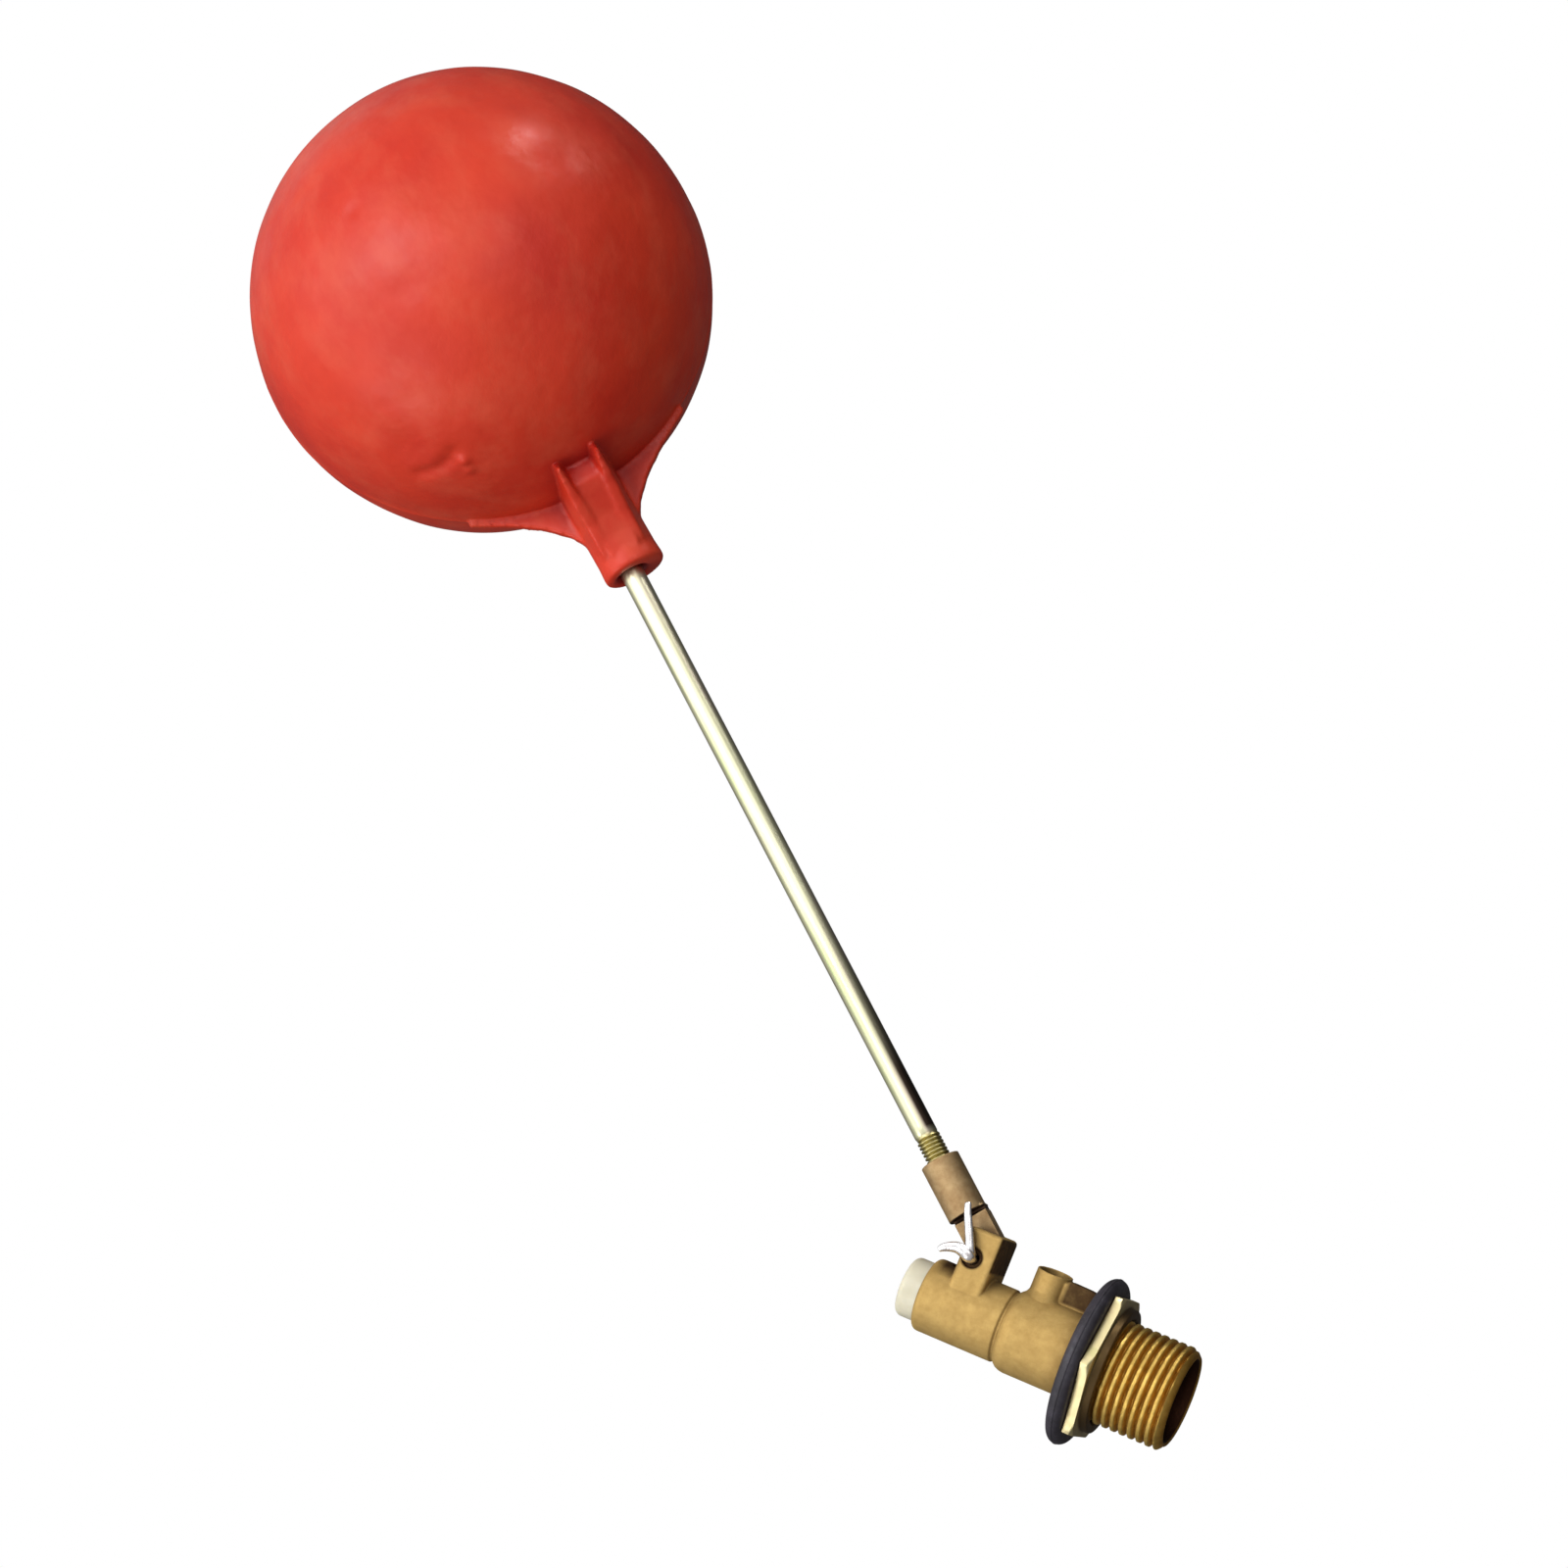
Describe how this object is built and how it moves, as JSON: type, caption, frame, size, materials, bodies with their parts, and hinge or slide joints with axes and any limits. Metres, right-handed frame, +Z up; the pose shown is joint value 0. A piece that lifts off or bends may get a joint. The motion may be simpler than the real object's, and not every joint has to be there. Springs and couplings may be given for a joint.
{
  "type": "toilet fill valve",
  "caption": "Brass float valve with a threaded inlet, rubber flange washer and lock nut, sliding plunger, and a hollow ball float on a rod hinged on a split pin.",
  "frame": {"origin": "centre of the flange's body side, on the inlet axis", "axes": "+X along the valve from the inlet towards the plunger and the float, +Z up in use with the outlet facing down, +Y across the valve along the float arm's pivot"},
  "size_m": [0.2698, 0.0964, 0.2182],
  "materials": {
    "cast_brass": "satin",
    "lever_brass": "satin",
    "white_nylon": "translucent satin",
    "black_rubber": "matt",
    "yellow_zinc": "yellow passivated zinc",
    "bright_steel": "bright",
    "passivated_rod": "iridescent yellow passivated zinc",
    "red_plastic": "satin"
  },
  "bodies": {
    "valve": {"valve_body": "cast_brass", "seat_nozzle": "white_nylon", "flange_washer": "black_rubber", "split_pin": "bright_steel"},
    "nut": {"lock_nut": "yellow_zinc"},
    "piston": {"plunger": "white_nylon", "plunger_seal": "black_rubber"},
    "arm": {"lever": "lever_brass", "float_rod": "passivated_rod", "float_insert": "lever_brass", "float_ball": "red_plastic"}
  },
  "joints": [
    {"name": "float_arm", "type": "hinge", "parent": "valve", "child": "arm", "pos_m": [0.0256, 0, -0.01], "axis": [0, -1, 0], "range_deg": [0, 39.2]},
    {"name": "plunger_slide", "type": "slide", "parent": "valve", "child": "piston", "axis": [-1, 0, 0], "range_m": [0, 0.00677]},
    {"name": "lock_nut_travel", "type": "slide", "parent": "valve", "child": "nut", "axis": [-1, 0, 0], "range_m": [0, 0.012]}
  ],
  "couplings": [
    {"joint": "plunger_slide", "follows": "float_arm", "m_per_rad": 0.009895}
  ]
}
